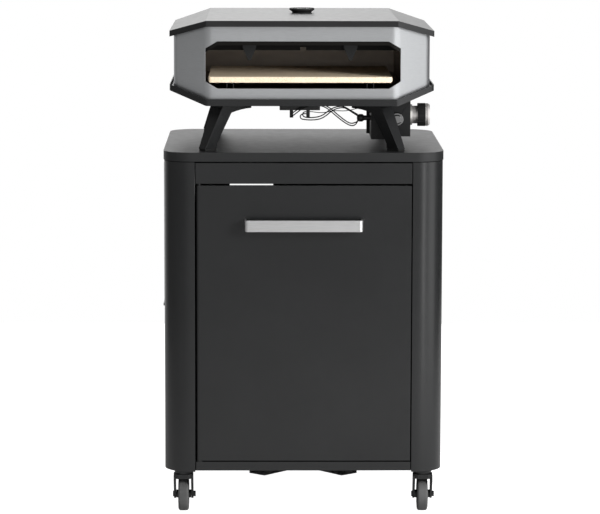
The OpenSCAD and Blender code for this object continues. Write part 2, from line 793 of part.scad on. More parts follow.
// Wheel body with its hub, spinning on the axle
module wheel(sx, sy) {
    rim_r = wheel_r - tread_t;
    color(iron_black) at_caster(sx, sy) translate([0, -trail, wheel_r]) rotate([0, 90, 0])
        rotate_extrude() polygon([[axle_r + pin_clear, -hub_half], [hub_r, -hub_half],
            [hub_r, -wheel_w / 2 + 5], [rim_r - 4, -wheel_w / 2 + 4], [rim_r - 3, -wheel_w / 2 + 1],
            [rim_r, -wheel_w / 2 + 1], [rim_r, wheel_w / 2 - 1], [rim_r - 3, wheel_w / 2 - 1],
            [rim_r - 4, wheel_w / 2 - 4], [hub_r, wheel_w / 2 - 5], [hub_r, hub_half],
            [axle_r + pin_clear, hub_half]]);
}

// Rubber tread with rounded shoulders
module tread(sx, sy) {
    rim_r = wheel_r - tread_t;
    w = wheel_w / 2;
    shoulder = [for (a = [0 : 15 : 90]) [wheel_r - tread_crown * (1 - sin(a)), w - 5 * (1 - cos(a))]];
    color(rubber) at_caster(sx, sy) translate([0, -trail, wheel_r]) rotate([0, 90, 0])
        rotate_extrude() polygon(concat([[rim_r, -w]], [for (q = shoulder) [q[0], -q[1]]],
            turned(shoulder), [[rim_r, w]]));
}

// Plan of the oven drawn in by i
function oven_plan(i) =
    let (w = half_w - i, d = half_d - i, f = half_flat - i * flat_shift, c = oven_cut - i + i * side_shift)
    [[-f, -d], [f, -d], [w, -d + c], [w, d - c], [f, d], [-f, d], [-w, d - c], [-w, -d + c]];

function turned(list) = [for (i = [len(list) - 1 : -1 : 0]) list[i]];

function unit(a) = a / norm(a);

// Flat outline with convex corners rounded off to the radius r
module soft_plan(p, r) {
    n = len(p);
    turn = [for (k = [0 : n - 1]) let (a = unit(p[(k + n - 1) % n] - p[k]), b = unit(p[(k + 1) % n] - p[k]))
        [a, b, acos(a * b) / 2]];
    polygon([for (k = [0 : n - 1]) each [p[k] + turn[k][0] * r / tan(turn[k][2]),
        p[k] + turn[k][1] * r / tan(turn[k][2])]]);
    for (k = [0 : n - 1])
        translate(p[k] + unit(turn[k][0] + turn[k][1]) * r / sin(turn[k][2])) circle(r);
}

// Front view of a bent sheet's surface from side to side, by its heights in the middle and at the edges
function bent_line(heights) =
    let (w = half_w + 5, z = heights[0] + (heights[1] - heights[0]) * (w - half_flat) / cut_w)
    [[-w, z], [-half_flat, heights[0]], [half_flat, heights[0]], [w, z]];

// Space between two bent surfaces, run through the oven's whole depth
module between_surfaces(low, high) {
    translate([0, half_d + 5, 0]) rotate([90, 0, 0]) linear_extrude(oven_d + 10)
        polygon(concat(bent_line(low), turned(bent_line(high))));
}

// Block between two bent surfaces, its plan drawn in by i and its upright corners rounded to r
module bent_block(i, r, low, high) {
    intersection() {
        linear_extrude(lid_z + 5) soft_plan(oven_plan(i), r);
        between_surfaces(low, high);
    }
}

// Lid: flat in the middle, with wings that slope down at the sides and a folded edge
module oven_lid() {
    t = oven_sheet;
    top = [lid_z, lid_edge_z];
    color(steel_black) on_table() difference() {
        bent_block(0, lid_corner, top - lid_rim * [1, 1], top);
        bent_block(t, lid_corner - t, top - (lid_rim + 1) * [1, 1], top - t * [1, 1]);
        translate([gauge_x, -half_d + gauge_back, lid_z - 10]) cylinder(r = probe_hole, h = 20);
    }
}

// Tray under the oven, the lid's form turned over
module oven_tray() {
    t = oven_sheet;
    base = [tray_z, tray_edge_z];
    rim = base + [tray_rim, tray_rim_end];
    color(steel_black) on_table() difference() {
        bent_block(0, tray_corner, base, rim);
        bent_block(t, tray_corner - t, base + t * [1, 1], rim + [1, 1]);
        translate([feed_x, burner_y, tray_z - 5]) cylinder(r = feed_r + 0.5, h = 20);
    }
}

// Outline of the oven's mouth, drawn down by top, seen from the front
module mouth_outline(top = 0) {
    w = mouth_w / 2;
    z0 = mouth_z;
    z1 = mouth_top - top;
    translate([mouth_x, 0]) polygon([[-w + mouth_cut_w, z0], [w - mouth_cut_w, z0], [w, z0 + mouth_cut_h],
        [w, z1 - mouth_cut_h], [w - mouth_cut_w, z1], [-w + mouth_cut_w, z1], [-w, z1 - mouth_cut_h],
        [-w, z0 + mouth_cut_h]]);
}

// Upright shell between tray and lid, its mouth running round onto the slanted faces
module oven_shell() {
    t = oven_sheet;
    color(steel_grey) on_table() difference() {
        intersection() {
            translate([0, 0, tray_z]) linear_extrude(lid_z - tray_z) difference() {
                soft_plan(oven_plan(shell_inset), shell_bend);
                soft_plan(oven_plan(shell_inset + t), shell_bend - t);
            }
            between_surfaces([tray_z + t, tray_edge_z + t], [lid_z - t, lid_edge_z - t]);
        }
        translate([0, shell_y + mouth_reach, 0]) rotate([90, 0, 0]) linear_extrude(mouth_reach + 1)
            mouth_outline();
    }
}

// Section of the chamber, drawn in by g
module chamber_section(g) {
    w = chamber_half - g;
    z0 = chamber_z0 + g;
    z1 = chamber_z1 - g;
    cut = 24;
    polygon([[-w, z0], [w, z0], [w, z1 - cut], [w - cut, z1], [-w + cut, z1], [-w, z1 - cut]]);
}

// Block of the chamber's section, drawn in by g, whose front follows the shell
module chamber_block(g) {
    intersection() {
        translate([0, chamber_y1 - g, 0]) rotate([90, 0, 0]) linear_extrude(chamber_y1 - g + half_d)
            chamber_section(g);
        linear_extrude(lid_z)
            soft_plan(oven_plan(shell_inset + oven_sheet + g), shell_bend - oven_sheet - g);
    }
}

// Flame shield under the chamber's roof, its front edge folded down and notched in the middle
module flame_shield() {
    t = oven_sheet;
    y0 = shell_y + shield_back;
    difference() {
        union() {
            translate([-chamber_half, y0, shield_z - t]) cube([2 * chamber_half, chamber_y1 - y0, t]);
            translate([-chamber_half, y0, shield_z - shield_lip]) cube([2 * chamber_half, t, shield_lip]);
        }
        translate([gauge_x - shield_notch / 2, y0 - 1, shield_z - shield_lip - 1])
            cube([shield_notch, t + 2, shield_lip - 3]);
        translate([gauge_x, -half_d + gauge_back, shield_z - 5]) cylinder(r = probe_hole, h = 10);
    }
}

// Steel chamber round the stone, with a narrower mouth behind the shell's
module oven_chamber() {
    t = oven_sheet;
    color([0.3, 0.27, 0.24]) on_table() {
        difference() {
            chamber_block(0);
            chamber_block(t);
            translate([0, shell_y + mouth_reach + t, 0]) rotate([90, 0, 0]) linear_extrude(mouth_reach)
                mouth_outline(lintel_h);
            translate([feed_x, burner_y, chamber_z0 - 5]) cylinder(r = feed_r + 0.5, h = 10);
            translate([gauge_x, -half_d + gauge_back, chamber_z1 - 5]) cylinder(r = probe_hole, h = 10);
        }
        intersection() {
            chamber_block(t / 2);
            flame_shield();
        }
    }
}

// Two channels that carry the chamber above the tray
module chamber_stands() {
    z0 = tray_z + oven_sheet;
    run = chamber_y1 - chamber_y0 - 2 * stand_end;
    color(steel_grey) on_table() for (sx = [-1, 1])
        translate([sx * stand_x, chamber_y1 - stand_end, 0])
            rotate([90, 0, 0]) linear_extrude(run) difference() {
            translate([-stand_w / 2, z0]) square([stand_w, chamber_z0 - z0]);
            translate([-stand_w / 2 + oven_sheet, z0 - 1])
                square([stand_w - 2 * oven_sheet, chamber_z0 - z0 - oven_sheet + 1]);
        }
}

// Two pointed plates that hang under the chamber's roof in front of the flame shield
module mouth_hangers() {
    w = hanger_w / 2;
    color(iron_black) on_table() for (sx = [-1, 1])
        translate([stone_x + sx * hanger_x, shell_y + hanger_back + 2, chamber_z1 - oven_sheet])
            rotate([90, 0, 0]) linear_extrude(2) polygon([[-w, 0], [w, 0], [w, hanger_point - hanger_h],
                [3, -hanger_h], [-3, -hanger_h], [-w, hanger_point - hanger_h]]);
}

// Channel rails on the chamber's floor that the stone slides on, each with a stop at its back
module stone_rails() {
    z0 = chamber_z0 + oven_sheet;
    h = stone_z - z0;
    color(iron_black) on_table() for (sx = [-1, 1])
        translate([stone_x + sx * rail_x - rail_w / 2, stone_y0, z0]) {
            difference() {
                cube([rail_w, stone_d + 2 + 4, h]);
                translate([rail_t, -1, -1]) cube([rail_w - 2 * rail_t, stone_d + 3, h - rail_t + 1]);
            }
            translate([0, stone_d + 2, 0]) cube([rail_w, 4, h + stone_t / 2]);
        }
}

module baking_stone() {
    w = stone_w / 2;
    b = stone_bevel;
    e = 1;
    color(stone_tan) on_table() translate([stone_x, 0, stone_z]) intersection() {
        translate([0, stone_y1, 0]) rotate([90, 0, 0]) linear_extrude(stone_d)
            polygon([[-w + b, 0], [w - b, 0], [w, b], [w, stone_t - e], [w - e, stone_t],
                [-w + e, stone_t], [-w, stone_t - e], [-w, b]]);
        translate([0, (stone_y0 + stone_y1) / 2, 0]) linear_extrude(stone_t)
            round_rect(stone_w, stone_d, 6);
    }
}

// Burner pipe across the back of the chamber, with flame slots and two feet
module burner() {
    foot_w = 4;
    z0 = chamber_z0 + oven_sheet;
    slot_pitch = (burner_len - 60) / (burner_slots - 1);
    color(steel_grey) on_table() {
        difference() {
            translate([-burner_len / 2, burner_y, burner_z]) rotate([0, 90, 0])
                cylinder(r = burner_r, h = burner_len);
            translate([-burner_len / 2 + 2, burner_y, burner_z]) rotate([0, 90, 0])
                cylinder(r = burner_r - 1.5, h = burner_len - 4);
            for (i = [0 : burner_slots - 1])
                translate([-burner_len / 2 + 30 + i * slot_pitch - 1.5, burner_y - 4, burner_z])
                    cube([3, 8, burner_r + 2]);
            translate([feed_x, burner_y, burner_z - burner_r - 2]) cylinder(r = feed_r, h = burner_r);
        }
        for (sx = [-1, 1]) translate([sx * burner_len / 3 - foot_w / 2, burner_y - 10, z0])
            difference() {
                cube([foot_w, 20, burner_z - z0]);
                translate([-1, 10, burner_z - z0]) rotate([0, 90, 0])
                    cylinder(r = burner_r, h = foot_w + 2);
            }
    }
}

// Gas pipe from the control box, along under the tray and up to the burner
module gas_feed() {
    b = feed_bend;
    color(bright) on_table() {
        translate([feed_x, box_y1, feed_z]) rotate([-90, 0, 0])
            cylinder(r = feed_r, h = burner_y - b - box_y1);
        translate([feed_x, burner_y - b, feed_z + b]) rotate([0, 90, 0]) rotate([0, 0, -90])
            rotate_extrude(angle = 90) translate([b, 0]) circle(feed_r);
        translate([feed_x, burner_y, feed_z + b])
            cylinder(r = feed_r, h = burner_z - burner_r - feed_z - b + 1);
    }
}

// Places a flat outline, drawn in x and y, on the plane through o with the unit directions u and v
module on_plane(o, u, v) {
    n = cross(u, v);
    multmatrix([[u[0], v[0], n[0], o[0]], [u[1], v[1], n[1], o[1]], [u[2], v[2], n[2], o[2]], [0, 0, 0, 1]])
        children();
}

// Leg at the side sx and the end sy: two plates at a right angle, meeting in a ridge
module leg(sx, sy) {
    top = [-leg_top_x, -leg_foot_y + leg_lean_y, tray_z];
    foot = [-leg_foot_x, -leg_foot_y, pad_t];
    ridge = foot - top;
    in_dir = unit([1, 1, 0]);
    out_dir = unit([-1, 1, 0]);
    in_run = ridge * in_dir;
    out_run = ridge * out_dir;
    in_down = unit(ridge - in_run * in_dir);
    out_down = unit(ridge - out_run * out_dir);
    in_h = ridge * in_down;
    out_h = ridge * out_down;
    taper = out_run + leg_outer_foot - leg_outer_top;
    over = 0.06;
    f = (leg_flare - 4) / sqrt(2);
    o = (leg_outer_top - 4) / sqrt(2);
    rim = 6;
    flare_u = in_run * leg_flare_h / in_h + leg_inner_top;
    hollow = [for (t = [0 : 0.25 : 1])
        [leg_flare - (leg_flare - flare_u) * t, leg_flare_tip + (leg_flare_h - leg_flare_tip) * t * t]];
    color(steel_black) on_table() mirror([sx > 0 ? 1 : 0, 0, 0]) mirror([0, sy > 0 ? 1 : 0, 0])
        intersection() {
            union() {
                on_plane(top, in_dir, in_down) linear_extrude(leg_t)
                    polygon(concat([[-over * in_run, -over * in_h], [leg_flare, -over * in_h]], hollow,
                        [[in_run + leg_inner_foot, in_h * 0.89],
                         [in_run + leg_inner_foot, in_h * (1 + over)],
                         [in_run * (1 + over), in_h * (1 + over)]]));
                on_plane(top, out_dir, out_down) translate([0, 0, -leg_t - 0.4]) linear_extrude(leg_t)
                    polygon([[1 - over * out_run, -over * out_h],
                        [leg_outer_top - over * taper, -over * out_h],
                        [leg_outer_top + (1 + over) * taper, (1 + over) * out_h],
                        [1 + (1 + over) * out_run, (1 + over) * out_h]]);
                translate([top[0], top[1] + 1.5, tray_z - leg_t]) linear_extrude(2 * leg_t)
                    polygon([[0, 0], [f, f], [f - rim, f + rim], [0, 2 * rim],
                        [-o + rim, o + rim], [-o, o]]);
            }
            translate([-half_w, -half_d, pad_t]) cube([half_w, half_d, tray_z - pad_t]);
        }
}

// Rubber pads under the legs, a right-angled strip each
module leg_pads() {
    w = 7;
    color(rubber) on_table() for (sx = [-1, 1], sy = [-1, 1])
        mirror([sx > 0 ? 1 : 0, 0, 0]) mirror([0, sy > 0 ? 1 : 0, 0])
            translate([-leg_foot_x, -leg_foot_y, 0]) rotate([0, 0, 45]) linear_extrude(pad_t) {
                translate([0.5, 0]) square([leg_inner_foot - 2, w]);
                square([w, leg_outer_foot - 2]);
            }
}

// Section of the control box, drawn in by g, whose top follows the tray
module box_section(g) {
    slope = tray_rise / cut_w;
    z1 = tray_z - box_top_gap - g;
    polygon([[box_x0 + g, box_z - box_step + g], [box_mid_x - g, box_z - box_step + g],
        [box_mid_x - g, box_z + g],
        [box_x1 - g, box_z + g], [box_x1 - g, z1 + (box_x1 - g - half_flat) * slope],
        [half_flat, z1], [box_x0 + g, z1]]);
}

// Control box under the tray's right front
module control_box() {
    w = box_wall;
    color(iron_black) on_table() difference() {
        translate([0, box_y1, 0]) rotate([90, 0, 0]) linear_extrude(box_d) box_section(0);
        translate([0, box_y1 - w, 0]) rotate([90, 0, 0]) linear_extrude(box_d - 2 * w) box_section(w);
        translate([box_x1 - w - 1, knob_axis_y, knob_z]) rotate([0, 90, 0])
            cylinder(r = shaft_r + pin_clear, h = w + 2);
        translate([igniter_x, box_y0 + w + 1, igniter_z]) rotate([90, 0, 0])
            cylinder(r = igniter_r - 3.5, h = w + 2);
    }
    color(iron_black) on_table() translate([box_x0 - box_ear, box_y1 - w, box_z - 3])
        cube([box_ear + w / 2, w, tray_z - box_top_gap - box_z + 3]);
}

// Gas inlet at the back of the control box: a hexagon and a smooth tail for the hose
module gas_inlet() {
    color([0.78, 0.66, 0.4]) on_table()
        translate([inlet_x, box_y1, inlet_z]) rotate([-90, 0, 0]) difference() {
        union() {
            cylinder(r = inlet_r + 4, h = 8, $fn = 6);
            cylinder(r = inlet_r, h = 8 + inlet_len);
        }
        translate([0, 0, 2]) cylinder(r = inlet_r - 2, h = 8 + inlet_len);
    }
}

// Gas knob: shaft, collar, barrel and end ring, turning about X
module gas_knob() {
    r = knob_r;
    band_z = knob_len - ring_t - band_len;
    color(bright) on_table() translate([box_x1, knob_axis_y, knob_z]) rotate([0, 90, 0]) {
        translate([0, 0, -14]) cylinder(r = shaft_r, h = 15);
        translate([0, 0, knob_gap]) cylinder(r1 = r - 2, r2 = r - 3, h = collar_t);
        translate([0, 0, knob_gap + collar_t - eps])
            cylinder(r = r - 6, h = band_z - collar_t - knob_gap + eps);
        translate([0, 0, band_z - eps]) cylinder(r = r - 4, h = band_len + 2 * eps);
        translate([0, 0, band_z + band_len]) cylinder(r = r - 0.6, h = ring_t - 4);
        translate([0, 0, knob_len - 4 - eps]) cylinder(r1 = r - 0.6, r2 = r - 3, h = 4 + eps);
    }
}

// Ribbed rubber band round the knob
module knob_band() {
    r = knob_r;
    band_z = knob_len - ring_t - band_len;
    color(rubber) on_table() translate([box_x1 + band_z, knob_axis_y, knob_z]) rotate([0, 90, 0])
        linear_extrude(band_len) difference() {
            circle(r);
            circle(r - 4);
            for (a = [0 : 20 : 340]) rotate(a) translate([r + 0.4, 0]) circle(1.4);
        }
}

// Fixed bright ring round the igniter button
module igniter_ring() {
    color(bright) on_table() translate([igniter_x, box_y0, igniter_z]) rotate([90, 0, 0]) difference() {
        union() {
            cylinder(r1 = igniter_r, r2 = igniter_r - 2, h = 5);
            translate([0, 0, -12]) cylinder(r = igniter_r - 3.5 - 0.05, h = 13);
        }
        translate([0, 0, -13]) cylinder(r = igniter_r - 5.5, h = 20);
    }
}

module igniter_button() {
    r = igniter_r - 5.5 - 0.1;
    color(bright) on_table() translate([igniter_x, box_y0, igniter_z]) rotate([90, 0, 0]) {
        translate([0, 0, -8]) cylinder(r = r, h = 8 + igniter_travel + 2);
        translate([0, 0, igniter_travel + 2 - eps]) cylinder(r1 = r, r2 = r - 2, h = 2);
    }
}

// Spark unit under the tray, with the boots of its two terminals, and the plug at the control box
module spark_unit() {
    color(iron_black) on_table() {
        translate([unit_x0, unit_y - unit_d / 2, tray_z - unit_h])
            linear_extrude(unit_h) translate([(unit_x1 - unit_x0) / 2, unit_d / 2])
                round_rect(unit_x1 - unit_x0, unit_d, 4);
        for (x = [boot_one, boot_two]) translate([x, unit_y, boot_z])
            linear_extrude(tray_z - unit_h - boot_z) round_rect(boot_w, boot_w, 2);
        translate([plug_x, unit_y, plug_z]) rotate([0, 90, 0]) rotate_extrude()
            polygon([[0, 0], [4, 0], [8.5, 4.5], [8.5, 12], [5.5, 16],
                [5.5, box_x0 - plug_x], [0, box_x0 - plug_x]]);
    }
}

// Tube of eight sides swept along a route
function ring_dir(p, i) = unit(p[min(i + 1, len(p) - 1)] - p[max(i - 1, 0)]);

function tube_ring(p, i, r) =
    let (t = ring_dir(p, i), s = unit(cross(t, abs(t[1]) > 0.9 ? [1, 0, 0] : [0, 1, 0])), q = cross(t, s))
    [for (a = [0 : 45 : 315]) p[i] + r * (cos(a) * s + sin(a) * q)];

module tube(p, r) {
    n = len(p);
    polyhedron(points = [for (i = [0 : n - 1]) each tube_ring(p, i, r)],
        faces = concat([[for (i = [0 : 7]) i]],
            [for (k = [0 : n - 2], i = [0 : 7]) each let (a = 8 * k + i, b = 8 * k + (i + 1) % 8)
                [[a, a + 8, b + 8], [a, b + 8, b]]],
            [[for (i = [7 : -1 : 0]) 8 * (n - 1) + i]]));
}

module spark_leads() {
    color(rubber) on_table() translate([0, unit_y, 0]) {
        for (route = [lead_one, lead_two, lead_three, lead_four]) tube(route, lead_r);
        tube(wire, wire_r);
    }
}

// Thermometer on the lid: a round case, wider at its top, with a dial and a probe
module gauge_case() {
    r = gauge_r;
    h = gauge_h;
    color(iron_black) on_table() translate([gauge_x, -half_d + gauge_back, lid_z]) {
        rotate_extrude() polygon([[0, 0], [r - 7, 0], [r - 6, 3], [r, h - 4], [r, h - 1], [r - 1, h],
            [r - 3.5, h], [r - 3.5, h - 4], [1.5, h - 4], [1.5, h - 5], [0, h - 5]]);
        translate([0, 0, chamber_z1 - lid_z - probe_len])
            cylinder(r = 3, h = lid_z - chamber_z1 + probe_len + eps);
    }
}

// Clear disc over the dial
module gauge_glass() {
    color([0.8, 0.9, 0.9, 0.4]) on_table() translate([gauge_x, -half_d + gauge_back, lid_z + gauge_h - 1.6])
        cylinder(r = gauge_r - 3.5, h = 1.2);
}

module gauge_pointer() {
    h = gauge_h;
    color([0.8, 0.1, 0.1]) on_table() translate([gauge_x, -half_d + gauge_back, lid_z + h - 3.2]) {
        cylinder(r = 3, h = 1.2);
        translate([0, 0, -1.5]) cylinder(r = 1.45, h = 2);
        rotate(135) linear_extrude(0.8)
            polygon([[-1.6, -8], [1.6, -8], [0.5, gauge_r - 7], [-0.5, gauge_r - 7]]);
    }
}

worktop();
post(-1, -1);  // front_left_post
post(1, -1);  // front_right_post
post(-1, 1);  // rear_left_post
post(1, 1);  // rear_right_post
side_panels();
back_panel();
apron();
bottom_rail();
floor_plate();
floor_ribs();
door_pins();
door_catch();
shelf_hinges();
shelf_buffers();
caster_heads();
door_panel();
door_liner();
door_bushes();
door_handle();
door_strike();
side_shelf();
fork(-1, -1);  // front_left_fork
wheel(-1, -1);  // front_left_wheel
tread(-1, -1);  // front_left_tread
fork(1, -1);  // front_right_fork
wheel(1, -1);  // front_right_wheel
tread(1, -1);  // front_right_tread
fork(-1, 1);  // rear_left_fork
wheel(-1, 1);  // rear_left_wheel
tread(-1, 1);  // rear_left_tread
fork(1, 1);  // rear_right_fork
wheel(1, 1);  // rear_right_wheel
tread(1, 1);  // rear_right_tread
oven_lid();
oven_shell();
oven_tray();
oven_chamber();
chamber_stands();
mouth_hangers();
stone_rails();
baking_stone();
burner();
gas_feed();
leg(-1, -1);  // front_left_leg
leg(1, -1);  // front_right_leg
leg(-1, 1);  // rear_left_leg
leg(1, 1);  // rear_right_leg
leg_pads();
control_box();
gas_inlet();
gas_knob();
knob_band();
igniter_ring();
igniter_button();
spark_unit();
spark_leads();
gauge_case();
gauge_glass();
gauge_pointer();
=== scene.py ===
"""Looks of the grill cart and its pizza oven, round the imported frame. Lengths are in metres."""

import json
import math

import bmesh
import bpy
from mathutils import Matrix, Vector


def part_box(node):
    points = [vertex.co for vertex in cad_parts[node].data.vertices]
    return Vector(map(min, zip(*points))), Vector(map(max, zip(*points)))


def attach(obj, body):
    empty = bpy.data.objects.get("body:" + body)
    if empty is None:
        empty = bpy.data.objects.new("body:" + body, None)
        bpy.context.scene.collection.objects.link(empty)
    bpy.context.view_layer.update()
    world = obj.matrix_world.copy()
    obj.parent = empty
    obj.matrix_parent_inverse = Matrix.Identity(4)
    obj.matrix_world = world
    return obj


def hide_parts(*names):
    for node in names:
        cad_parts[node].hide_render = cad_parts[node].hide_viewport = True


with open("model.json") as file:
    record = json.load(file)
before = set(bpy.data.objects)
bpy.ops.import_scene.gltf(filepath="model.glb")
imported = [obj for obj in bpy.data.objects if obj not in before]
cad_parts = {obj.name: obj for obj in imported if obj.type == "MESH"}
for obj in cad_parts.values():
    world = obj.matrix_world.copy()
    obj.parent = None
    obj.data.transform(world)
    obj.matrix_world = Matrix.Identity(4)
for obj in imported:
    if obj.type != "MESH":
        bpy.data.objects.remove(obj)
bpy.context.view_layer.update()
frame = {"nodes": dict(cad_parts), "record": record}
NODES = frame["nodes"]
MM = 0.001

# Places read from the frame
worktop_low, worktop_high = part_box("worktop")
TABLE_Z = worktop_high.z
FRONT_Y = worktop_low.y
lid_low, lid_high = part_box("oven_lid")
OVEN = Vector(((lid_low.x + lid_high.x) / 2, (lid_low.y + lid_high.y) / 2, TABLE_Z))

# The photograph's camera, as distances from the worktop's front edge and top face
IMAGE_WIDTH_PX = 600
FOCAL_PX = 3018.3
SENSOR_MM = 36
CAMERA_X = -0.0812
CAMERA_BACK = 6.593
CAMERA_UP = 0.6398
YAW = math.radians(0.635)
PITCH = math.radians(7.52)
ROLL = math.radians(0.114)
VIEW_DEPTH = 50


def make_camera():
    """Camera whose image plane keeps the photograph's yaw, pitch and roll."""
    forward = Vector((math.sin(YAW) * math.cos(PITCH), math.cos(YAW) * math.cos(PITCH), -math.sin(PITCH)))
    level_right = Vector((math.cos(YAW), -math.sin(YAW), 0))
    level_up = level_right.cross(forward)
    right = math.cos(ROLL) * level_right + math.sin(ROLL) * level_up
    up = math.cos(ROLL) * level_up - math.sin(ROLL) * level_right
    data = bpy.data.cameras.new("camera")
    data.sensor_width = SENSOR_MM
    data.lens = FOCAL_PX / IMAGE_WIDTH_PX * SENSOR_MM
    data.clip_end = VIEW_DEPTH
    camera = bpy.data.objects.new("camera", data)
    turn = Matrix((right, up, -forward)).transposed()
    place = (CAMERA_X, FRONT_Y - CAMERA_BACK, TABLE_Z + CAMERA_UP)
    camera.matrix_world = Matrix.Translation(place) @ turn.to_4x4()
    bpy.context.scene.collection.objects.link(camera)
    bpy.context.scene.camera = camera


# Where a noise node's values mostly lie, and the narrower span that its two colours share
NOISE_SPAN = (0.3, 0.7)
COLOUR_SPAN = (0.35, 0.65)


class Look:
    """A material's node tree, with short calls for the nodes that the materials share."""

    def __init__(self, name):
        self.material = bpy.data.materials.new(name)
        self.material.use_nodes = True
        self.tree = self.material.node_tree
        self.shader = self.tree.nodes["Principled BSDF"]
        self.coords = self.add("ShaderNodeTexCoord")

    def add(self, kind, **values):
        """New node; each value is a property of the node or the default of its input."""
        node = self.tree.nodes.new(kind)
        for key, value in values.items():
            if hasattr(node, key):
                setattr(node, key, value)
            else:
                node.inputs[key.replace("_", " ")].default_value = value
        return node

    def link(self, source, target):
        self.tree.links.new(source, target)

    def set(self, **values):
        """Constants on the shader's own sockets."""
        for key, value in values.items():
            self.shader.inputs[key.replace("_", " ")].default_value = value

    def noise(self, scale, stretch=(1, 1, 1), detail=3.0, roughness=0.5):
        """Noise in the object's own frame; scale is in cells per metre."""
        mapping = self.add("ShaderNodeMapping")
        mapping.inputs["Scale"].default_value = [scale * s for s in stretch]
        self.link(self.coords.outputs["Object"], mapping.inputs["Vector"])
        noise = self.add("ShaderNodeTexNoise", Scale=1.0, Detail=detail, Roughness=roughness)
        self.link(mapping.outputs["Vector"], noise.inputs["Vector"])
        return noise.outputs["Fac"]

    def ramp(self, value, stops):
        """Colour ramp through stops of (position, colour)."""
        ramp = self.add("ShaderNodeValToRGB")
        elements = ramp.color_ramp.elements
        while len(elements) < len(stops):
            elements.new(0.5)
        for element, (position, colour) in zip(elements, stops):
            element.position = position
            element.color = (*colour, 1)
        self.link(value, ramp.inputs["Fac"])
        return ramp.outputs["Color"]

    def spread(self, value, low, high):
        """Maps a noise value's usual span to the span from low to high."""
        span = {"From_Min": NOISE_SPAN[0], "From_Max": NOISE_SPAN[1], "To_Min": low, "To_Max": high}
        mapped = self.add("ShaderNodeMapRange", **span)
        self.link(value, mapped.inputs["Value"])
        return mapped.outputs["Result"]

    def bump(self, height, strength, distance):
        """Relief from a height; distance is in metres."""
        bump = self.add("ShaderNodeBump", Strength=strength, Distance=distance)
        self.link(height, bump.inputs["Height"])
        self.link(bump.outputs["Normal"], self.shader.inputs["Normal"])

    def colour(self, value, dark, light):
        """Base colour between two by a noise value."""
        stops = list(zip(COLOUR_SPAN, (dark, light)))
        self.link(self.ramp(value, stops), self.shader.inputs["Base Color"])

    def rough(self, value, low, high):
        """Roughness between two by a noise value."""
        self.link(self.spread(value, low, high), self.shader.inputs["Roughness"])


def grey(level, warm=0.0):
    """Grey of a level; warm above 0 leans it to yellow, and below 0 to blue."""
    return (level * (1 + warm), level, level * (1 - warm))


def coat(name, level, rough, grain=0.03, warm=-0.04):
    """Baked coat: a fine even orange peel with slight unevenness of colour and gloss."""
    look = Look(name)
    mottle = look.noise(9, detail=2)
    haze = look.noise(60, detail=2)
    peel = look.noise(1400, detail=1)
    look.colour(mottle, grey(level * 0.93, warm), grey(level * 1.07, warm))
    look.rough(haze, rough - 0.02, rough + 0.02)
    look.bump(peel, grain, 0.0001)
    return look.material


# Depths behind the worktop's front edge between which the chamber's painted shade, near-black where the
# mouth's shade falls, gives way to browned steel
SHADE_PAINT_FRONT = 0.1
SHADE_PAINT_BACK = 0.2


def heated_steel(name, front, back, rough):
    """Steel browned by heat, with painted shade towards the mouth: near-black and not metallic there, where
    shade falls.
    """
    look = Look(name)
    split = look.add("ShaderNodeSeparateXYZ")
    look.link(look.coords.outputs["Object"], split.inputs[0])
    depth = look.add("ShaderNodeMapRange", From_Min=FRONT_Y + SHADE_PAINT_FRONT, From_Max=FRONT_Y + SHADE_PAINT_BACK)
    look.link(split.outputs["Y"], depth.inputs["Value"])
    # The front colour is painted shade, and metallic follows the same ramp, so the shaded mouth reflects
    # nothing either
    look.link(look.ramp(depth.outputs["Result"], [(0, front), (1, back)]), look.shader.inputs["Base Color"])
    look.link(depth.outputs["Result"], look.shader.inputs["Metallic"])
    look.rough(look.noise(60, (1, 1, 3)), rough - 0.06, rough + 0.06)
    look.bump(look.noise(700, detail=2), 0.1, 0.0003)
    look.set(Specular_IOR_Level=0.12)
    return look.material


def metal(name, level, rough, stretch=(1, 1, 1), warm=0.0, grain=0.05, lines=2200, metallic=1.0):
    """Metal whose fine lines run along the axis whose stretch is smallest."""
    look = Look(name)
    streak = look.noise(lines, stretch=stretch, detail=2)
    look.set(Metallic=metallic)
    look.colour(streak, grey(level * 0.95, warm), grey(level * 1.05, warm))
    look.rough(streak, rough - 0.04, rough + 0.05)
    look.bump(streak, grain, 0.0002)
    return look.material


def plastic(name, level, rough, scale=900, grain=0.08, specular=0.5):
    """Moulded plastic or rubber with a fine grain, whose scale is in cells per metre."""
    look = Look(name)
    look.set(Specular_IOR_Level=specular)
    look.colour(look.noise(40), grey(level * 0.9), grey(level * 1.12))
    look.rough(look.noise(120), rough - 0.04, rough + 0.05)
    look.bump(look.noise(scale, detail=2), grain, 0.0003)
    return look.material


def fired_clay(name):
    """Pressed clay with fine specks and a faint mottle."""
    look = Look(name)
    speck = look.noise(420, detail=4, roughness=0.7)
    stops = [(0.3, (0.54, 0.41, 0.28)), (0.45, (0.76, 0.63, 0.46)), (0.7, (0.87, 0.75, 0.58))]
    look.link(look.ramp(speck, stops), look.shader.inputs["Base Color"])
    look.set(Roughness=0.9)
    look.bump(look.noise(900, detail=3), 0.35, 0.0006)
    return look.material


def clear_glass(name):
    """Thin clear disc with a faint waviness."""
    look = Look(name)
    look.set(Roughness=0.03, IOR=1.45, Alpha=0.22)
    look.shader.inputs["Base Color"].default_value = (0.85, 0.9, 0.9, 1)
    look.bump(look.noise(20, detail=1), 0.02, 0.0002)
    return look.material


